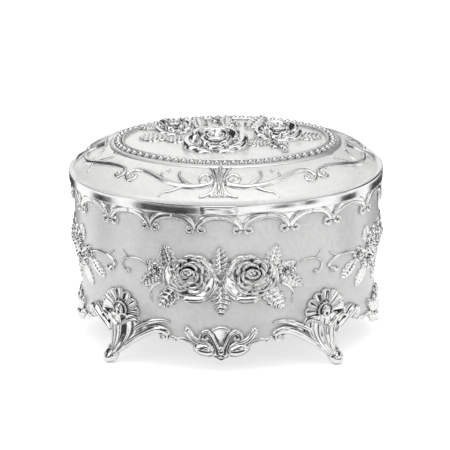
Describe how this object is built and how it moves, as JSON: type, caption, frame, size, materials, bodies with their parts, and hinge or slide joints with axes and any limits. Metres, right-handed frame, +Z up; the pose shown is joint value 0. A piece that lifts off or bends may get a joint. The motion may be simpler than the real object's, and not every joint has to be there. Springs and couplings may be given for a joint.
{
  "type": "rosary box",
  "caption": "Oval footed keepsake box with a hinged domed lid, beaded medallion, scalloped border and applied rose ornament.",
  "frame": {"origin": "on the table, under the middle of the box's outline", "axes": "+Z up, +X along the long side to the viewer's right, front with the thumb tab towards -Y, hinge at +Y"},
  "size_m": [0.1204, 0.0952, 0.0833],
  "materials": {
    "silver_relief": "polished silver plate, darker in the recesses",
    "body_enamel": "pearl grey-white enamel with faint swirls",
    "lid_enamel": "pearl white enamel",
    "velvet": "short-pile velvet, guessed",
    "hinge_metal": "satin plate",
    "pin_steel": "drawn wire",
    "plain_metal": "plain cast and plated"
  },
  "bodies": {
    "body": {"body_shell": "body_enamel", "floor_plate": "plain_metal", "scallop_border": "silver_relief", "front_rose_spray": "silver_relief", "back_rose_spray": "silver_relief", "left_rose_spray": "silver_relief", "right_rose_spray": "silver_relief", "front_cartouche": "silver_relief", "back_cartouche": "silver_relief", "left_cartouche": "silver_relief", "right_cartouche": "silver_relief", "front_left_foot": "silver_relief", "front_right_foot": "silver_relief", "back_left_foot": "silver_relief", "back_right_foot": "silver_relief", "wall_lining": "velvet", "floor_cushion": "velvet", "hinge_body_leaf": "hinge_metal", "hinge_pin": "pin_steel", "body_leaf_rivets": "hinge_metal"},
    "lid": {"lid_dome": "lid_enamel", "lid_rim": "silver_relief", "thumb_tab": "silver_relief", "medallion_plate": "lid_enamel", "ring_moulding": "silver_relief", "ring_beads": "silver_relief", "front_lid_scrolls": "silver_relief", "back_lid_scrolls": "silver_relief", "left_lid_scrolls": "silver_relief", "right_lid_scrolls": "silver_relief", "centre_lid_rose": "silver_relief", "left_lid_rose": "silver_relief", "right_lid_rose": "silver_relief", "lid_leaves": "silver_relief", "lid_flowers": "silver_relief", "lid_lining": "velvet", "hinge_lid_leaf": "hinge_metal", "lid_leaf_rivets": "hinge_metal"}
  },
  "joints": [
    {"name": "lid_hinge", "type": "hinge", "parent": "body", "child": "lid", "pos_m": [0, 0.0461, 0.0615], "axis": [-1, 0, 0], "range_deg": [0, 100]}
  ]
}
